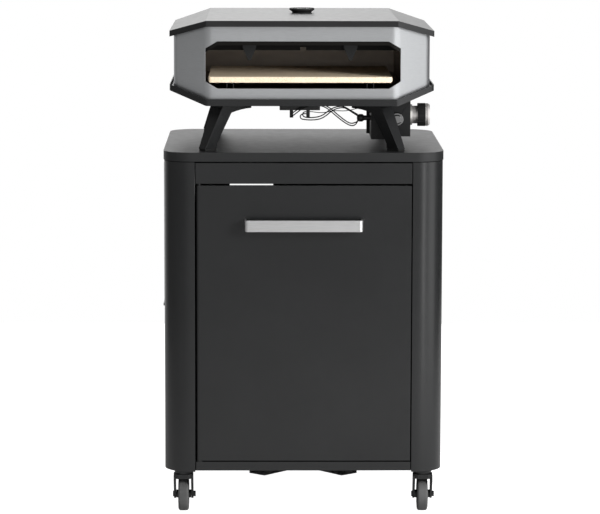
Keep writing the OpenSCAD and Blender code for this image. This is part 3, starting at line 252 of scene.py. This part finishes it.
LOOKS = {
    "powder_black": coat("powder_black", 0.009, 0.24),
    "table_black": coat("table_black", 0.009, 0.45),
    "lid_black": coat("lid_black", 0.009, 0.32),
    "box_black": coat("box_black", 0.004, 0.55, grain=0.12),
    "black_iron": coat("black_iron", 0.007, 0.4, grain=0.1),
    # The first colour is painted shade near the chamber's mouth; the second is the browned steel's own colour
    "chamber_steel": heated_steel("chamber_steel", (0.005, 0.0045, 0.004), (0.42, 0.37, 0.32), 0.42),
    "black_plastic": plastic("black_plastic", 0.014, 0.45),
    "zinc_steel": metal("zinc_steel", 0.5, 0.38),
    "brushed_steel": metal("brushed_steel", 0.8, 0.32, (0.02, 1, 1)),
    "grey_shell": metal("grey_shell", 0.58, 0.45, (0.03, 0.03, 1), warm=-0.02, grain=0.03),
    "steel_pipe": metal("steel_pipe", 0.4, 0.42, (0.05, 1, 1), warm=0.06),
    "brass_fitting": metal("brass_fitting", 0.45, 0.3, (1, 0.05, 1), warm=0.35),
    "chrome": metal("chrome", 0.34, 0.14, grain=0.01),
    "knob_steel": metal("knob_steel", 0.66, 0.4, (0.05, 1, 1), warm=0.03, metallic=0.84),
    "grey_tread": plastic("grey_tread", 0.075, 0.65, scale=260, grain=0.5),
    "black_rubber": plastic("black_rubber", 0.008, 0.5, specular=0.3),
    "lead_black": plastic("lead_black", 0.004, 0.5, specular=0.3),
    "baking_stone": fired_clay("baking_stone"),
    "gauge_glass": clear_glass("gauge_glass"),
    "gauge_pointer": plastic("gauge_pointer", 0.3, 0.5),
    "dial_print": plastic("dial_print", 0.7, 0.6),
}


# Nodes whose finish differs a little from their slot's
OWN_LOOKS = {"worktop": "table_black", "oven_lid": "lid_black", "control_box": "box_black",
             "gas_knob": "knob_steel"}


def dress_nodes():
    """Gives every CAD node its own look or its slot's material."""
    for part in frame["record"]["subparts"]:
        look = OWN_LOOKS.get(part["node"], part["material_slot"])
        node = NODES[part["node"]]
        node.data.materials.clear()
        node.data.materials.append(LOOKS[look])


# Radius in millimetres of the rounding that folding, pressing or moulding leaves on each node's edges.
# Only edges that turn by more than SHARP are rounded, once vertices closer than WELD millimetres are one
ROUNDING = {
    "worktop": 1.2, "front_left_post": 0.7, "front_right_post": 0.7, "rear_left_post": 0.7,
    "rear_right_post": 0.7, "apron": 0.7, "bottom_rail": 0.7, "back_panel": 0.7, "side_panels": 0.7,
    "door_panel": 0.9, "side_shelf": 0.9, "door_handle": 0.6, "oven_lid": 1.6, "oven_tray": 2.6,
    "oven_shell": 0.7, "oven_chamber": 0.7, "stone_rails": 0.5, "mouth_hangers": 0.5, "baking_stone": 0.7,
    "control_box": 0.8, "front_left_leg": 0.9, "front_right_leg": 0.9, "rear_left_leg": 0.9,
    "rear_right_leg": 0.9, "gas_knob": 0.6, "knob_band": 0.4, "igniter_ring": 0.6, "igniter_button": 0.5,
    "gauge_case": 0.5, "spark_unit": 0.7, "leg_pads": 0.6,
}
ROUNDING.update({f"{end}_{side}_fork": 0.6 for end in ("front", "rear") for side in ("left", "right")})
SHARP = math.radians(12)
WELD = 0.01
BEVEL_SEGMENTS = 2


def round_edges():
    """Rounds the nodes' edges a little, as on the real sheets, and smooths the faces between them."""
    for name, radius in ROUNDING.items():
        node = NODES[name]
        bpy.context.view_layer.objects.active = node
        bpy.ops.mesh.customdata_custom_splitnormals_clear()
        node.data.shade_smooth()
        weld = node.modifiers.new("weld", "WELD")
        weld.merge_threshold = WELD * MM
        bevel = node.modifiers.new("bevel", "BEVEL")
        bevel.width = radius * MM
        bevel.segments = BEVEL_SEGMENTS
        bevel.limit_method = "ANGLE"
        bevel.angle_limit = SHARP
        bevel.harden_normals = True


# Routes of the leads between spark unit, plug and control box, in millimetres from the oven's middle
# on the worktop; y is counted from the spark unit's middle
UNIT_Y = -176
LEAD_R = 1.3
WIRE_R = 0.9
LEADS = {
    "lead_one": (LEAD_R, [
        (-22.5, -4.1, 70), (-22.4, -8.4, 70.1), (-21, -13, 71.4), (-17.6, -17.4, 74.4), (-12.6, -20.8, 78.6),
        (-6.4, -23, 83.6), (0.5, -24.2, 88.6), (8, -24.8, 92.6), (17, -25, 95.2), (28, -25, 96.4),
        (40, -25, 95.9), (50, -24.8, 93.2), (58.4, -24.2, 88.4), (66, -23.2, 82.2), (75, -21.6, 74.4),
        (84, -19.4, 66.8), (93, -16.6, 59.9), (101.5, -13.4, 54.3), (109, -10.2, 50.9), (115.2, -7.6, 50.3),
        (120.2, -5.6, 52.8), (123.4, -4.2, 56.8), (125.9, -3.1, 60.8)]),
    "lead_two": (LEAD_R, [
        (-22.5, -4.15, 75.6), (-22.7, -8, 75.7), (-22, -12, 76.7), (-19.6, -15.6, 79.2), (-15.2, -18.4, 82.6),
        (-9.2, -20, 87), (-2.4, -20.8, 91.4), (5.6, -21.2, 95.2), (15.4, -21.4, 97.8), (27.6, -21.4, 99),
        (40.4, -21.4, 98.7), (51.6, -21.2, 96.2), (60.6, -20.6, 91.6), (69, -19.6, 85.2), (77.4, -18.2, 77.9),
        (86.4, -16, 70.3), (94.8, -13.2, 63.7), (102.2, -10.2, 58.6), (108.6, -7.2, 55.7), (114, -4.4, 55.2),
        (118.8, -1.8, 56.4), (122.4, -0.1, 57.6), (125.2, 1.2, 60.65)]),
    "lead_three": (LEAD_R, [
        (10.1, -2.5, 76), (6.5, -3.4, 76.2), (2, -4.8, 75.5), (-1.6, -6.2, 73.2), (-3, -7.6, 70),
        (-2, -8.6, 67), (0.8, -9, 64.9), (5.4, -9.2, 64), (14, -9.2, 63), (23.5, -9, 62.8), (33, -8.6, 63.6),
        (41.7, -8.2, 65.5), (50, -8, 69.4), (57.3, -7.8, 74.6), (64.5, -7.6, 80.6), (71.5, -7.4, 85),
        (79.5, -7.2, 88.2), (88, -7, 89.8), (96, -6.6, 89.2), (103, -5.6, 85.8), (109, -4.6, 82),
        (115, -3.4, 78), (120, -2.5, 74.8), (124.3, -1.8, 72)]),
    "lead_four": (LEAD_R, [
        (10.3, 2, 80), (6.9, 1.7, 79.8), (3.9, 0.7, 77.8), (2.7, -0.9, 74.4), (4, -3.2, 71), (7.6, -5.2, 69),
        (12.3, -6.2, 68.1), (18, -6.3, 67.8), (24, -6.2, 67.9), (31, -6, 68.6), (39, -5.6, 70.2),
        (47.7, -5, 73.8), (55, -4.4, 79), (62.5, -4, 84.8), (72, -3.6, 89.6), (84, -3.4, 92.4),
        (94, -3.2, 91.8), (102, -2.4, 88.2), (108.5, -1, 84.2), (114.5, 0.4, 80.6), (120.5, 1.4, 77),
        (125.9, 1.9, 73.9)]),
    "wire": (WIRE_R, [
        (18.65, 0, 80.6), (23, 0.4, 80.4), (30, 1, 79.4), (38, 1.5, 78.5), (47, 2, 78.4), (56, 2.3, 79.3),
        (64, 2.6, 80.9), (72, 2.8, 82.2), (82, 3, 82.4), (93, 3, 82.1), (104, 3, 83), (114, 3, 85.2),
        (123, 3.2, 87.3), (132.2, 3.4, 88), (141, 3.6, 86.2), (147.6, 3.8, 82.4), (151.2, 3.9, 79.5),
        (154, 4, 78)]),
}


def make_leads():
    """Leads and wire under the oven, each held at both ends."""
    for name, (radius, route) in LEADS.items():
        points = [OVEN + Vector((x, y + UNIT_Y, z)) * MM for x, y, z in route]
        curve = bpy.data.curves.new(name, "CURVE")
        curve.dimensions = "3D"
        curve.bevel_depth = radius * MM
        curve.bevel_resolution = 3
        curve.resolution_u = 6
        curve.use_fill_caps = True
        spline = curve.splines.new("BEZIER")
        spline.bezier_points.add(len(points) - 1)
        for knot, point in zip(spline.bezier_points, points):
            knot.co = point
            knot.handle_left_type = knot.handle_right_type = "AUTO"
        curve.materials.append(LOOKS["lead_black"])
        lead = bpy.data.objects.new(name, curve)
        bpy.context.scene.collection.objects.link(lead)
        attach(lead, "oven")
        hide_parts("spark_leads")


# The thermometer's dial, in millimetres; a tick is its length and width. Values are in degrees Celsius
DIAL_DEPTH = 4
SCALE_R = 22.5
TICK_T = 0.1
MINOR_TICK = (1.6, 0.45)
MAJOR_TICK = (3.2, 0.675)
FIGURE_R = 15
FIGURE_SIZE = 4.2
SCALE_START = math.radians(225)
SCALE_SWEEP = math.radians(270)
SCALE_END = 500
MINOR_STEP = 20
MAJOR_STEP = 100


def add_printed(name, data, place):
    """Printed piece of the dial, which stays with the oven."""
    data.materials.append(LOOKS["dial_print"])
    piece = bpy.data.objects.new(name, data)
    piece.location = place
    bpy.context.scene.collection.objects.link(piece)
    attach(piece, "oven")


def add_tick(bm, size, angle):
    """Flat mark that reaches inwards from the scale's outer circle."""
    length, width = size
    marks = bmesh.ops.create_cube(bm, size=1.0)["verts"]
    bmesh.ops.scale(bm, vec=[side * MM for side in (length, width, TICK_T)], verts=marks)
    bmesh.ops.translate(bm, vec=((SCALE_R - length / 2) * MM, 0, TICK_T / 2 * MM), verts=marks)
    bmesh.ops.rotate(bm, matrix=Matrix.Rotation(angle, 3, "Z"), verts=marks)


def figure(value):
    """Text of one of the scale's figures."""
    text = bpy.data.curves.new(f"dial_figure_{value}", "FONT")
    text.body = str(value)
    text.size = FIGURE_SIZE * MM
    text.extrude = TICK_T / 2 * MM
    text.align_x = "CENTER"
    text.align_y = "CENTER"
    return text


def make_dial():
    """Scale and figures printed on the thermometer's face."""
    case_low, case_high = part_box("gauge_case")
    face = (case_low + case_high) / 2
    face.z = case_high.z - DIAL_DEPTH * MM
    bm = bmesh.new()
    for value in range(0, SCALE_END + 1, MINOR_STEP):
        angle = SCALE_START - SCALE_SWEEP * value / SCALE_END
        if value % MAJOR_STEP:
            add_tick(bm, MINOR_TICK, angle)
            continue
        add_tick(bm, MAJOR_TICK, angle)
        offset = Vector((FIGURE_R * math.cos(angle), FIGURE_R * math.sin(angle), TICK_T / 2))
        add_printed(f"dial_figure_{value}", figure(value), face + offset * MM)
    mesh = bpy.data.meshes.new("dial_scale")
    bm.to_mesh(mesh)
    bm.free()
    add_printed("dial_scale", mesh, face)


FLOOR_SIZE = 5
FLOOR_GREY = 0.6
FLOOR_ROUGH = 0.9


def make_floor():
    """Pale matt floor, which the camera itself sees as white."""
    bpy.ops.mesh.primitive_plane_add(size=FLOOR_SIZE, location=(0, 0, 0))
    floor = bpy.context.object
    floor.name = "floor"
    material = bpy.data.materials.new("floor")
    material.use_nodes = True
    tree = material.node_tree
    shader = tree.nodes["Principled BSDF"]
    shader.inputs["Base Color"].default_value = (FLOOR_GREY, FLOOR_GREY, FLOOR_GREY, 1)
    shader.inputs["Roughness"].default_value = FLOOR_ROUGH
    shader.inputs["Emission Color"].default_value = (1, 1, 1, 1)
    path = tree.nodes.new("ShaderNodeLightPath")
    tree.links.new(path.outputs["Is Camera Ray"], shader.inputs["Emission Strength"])
    floor.data.materials.append(material)


# Brightness of the studio round the object: degrees to the right of the object's front, and level
STUDIO = [
    (-180, 1.75), (-168, 1.1), (-140, 0.5), (-112, 0.15), (-79, 0.29), (-35, 0.28), (-8, 0.52),
    (22, 0.52), (31, 1.2), (36, 3.9), (42, 1.5), (50, 0.8), (66, 1.75), (82, 1.6), (95, 0.3), (118, 0.05),
    (160, 0.1), (171, 1.0), (180, 1.75)]
STUDIO_PEAK = max(level for degrees, level in STUDIO)


def studio_colour(tree):
    """Socket with the studio's brightness in each direction, as a share of its peak."""
    coords = tree.nodes.new("ShaderNodeTexCoord")
    split = tree.nodes.new("ShaderNodeSeparateXYZ")
    tree.links.new(coords.outputs["Generated"], split.inputs[0])
    ahead = tree.nodes.new("ShaderNodeMath")
    ahead.operation = "MULTIPLY"
    ahead.inputs[1].default_value = -1
    tree.links.new(split.outputs["Y"], ahead.inputs[0])
    turn = tree.nodes.new("ShaderNodeMath")
    turn.operation = "ARCTAN2"
    tree.links.new(split.outputs["X"], turn.inputs[0])
    tree.links.new(ahead.outputs[0], turn.inputs[1])
    share = tree.nodes.new("ShaderNodeMapRange")
    share.inputs["From Min"].default_value = -math.pi
    share.inputs["From Max"].default_value = math.pi
    tree.links.new(turn.outputs[0], share.inputs["Value"])
    ramp = tree.nodes.new("ShaderNodeValToRGB")
    elements = ramp.color_ramp.elements
    while len(elements) < len(STUDIO):
        elements.new(0.5)
    for element, (degrees, level) in zip(elements, STUDIO):
        element.position = degrees / 360 + 0.5
        element.color = (level / STUDIO_PEAK,) * 3 + (1,)
    tree.links.new(share.outputs["Result"], ramp.inputs["Fac"])
    return ramp.outputs["Color"]


def make_world():
    """Studio, bright behind the object, dim at its left and lit at its right; the camera sees white."""
    world = bpy.data.worlds.new("studio")
    bpy.context.scene.world = world
    world.use_nodes = True
    tree = world.node_tree
    background = tree.nodes["Background"]
    tree.links.new(studio_colour(tree), background.inputs["Color"])
    background.inputs["Strength"].default_value = STUDIO_PEAK
    path = tree.nodes.new("ShaderNodeLightPath")
    white = tree.nodes.new("ShaderNodeBackground")
    white.inputs["Color"].default_value = (1, 1, 1, 1)
    mix = tree.nodes.new("ShaderNodeMixShader")
    tree.links.new(path.outputs["Is Camera Ray"], mix.inputs["Fac"])
    tree.links.new(background.outputs[0], mix.inputs[1])
    tree.links.new(white.outputs[0], mix.inputs[2])
    tree.links.new(mix.outputs[0], tree.nodes["World Output"].inputs["Surface"])


def softbox(name, place, aim, size, power, mirrored=True):
    """Rectangular lamp, in metres and watts; one that isn't mirrored shows in no gloss."""
    data = bpy.data.lights.new(name, "AREA")
    data.shape = "RECTANGLE"
    data.size, data.size_y = size
    data.energy = power
    lamp = bpy.data.objects.new(name, data)
    lamp.location = place
    lamp.rotation_euler = (Vector(aim) - Vector(place)).to_track_quat("-Z", "Y").to_euler()
    lamp.visible_glossy = mirrored
    bpy.context.scene.collection.objects.link(lamp)


def make_lights():
    """Key light at the right of the camera, and a large weak one overhead."""
    softbox("key", place=(2.32, -2.49, 1.56), aim=(0, 0, 1.0), size=(0.9, 1.1), power=135, mirrored=False)
    softbox("top", place=(0, -0.2, 3.2), aim=(0, 0, 0.8), size=(3.0, 3.0), power=20)


make_camera()
make_leads()
make_dial()
make_world()
make_floor()
make_lights()
dress_nodes()
round_edges()

bpy.context.scene.view_settings.view_transform = "Standard"
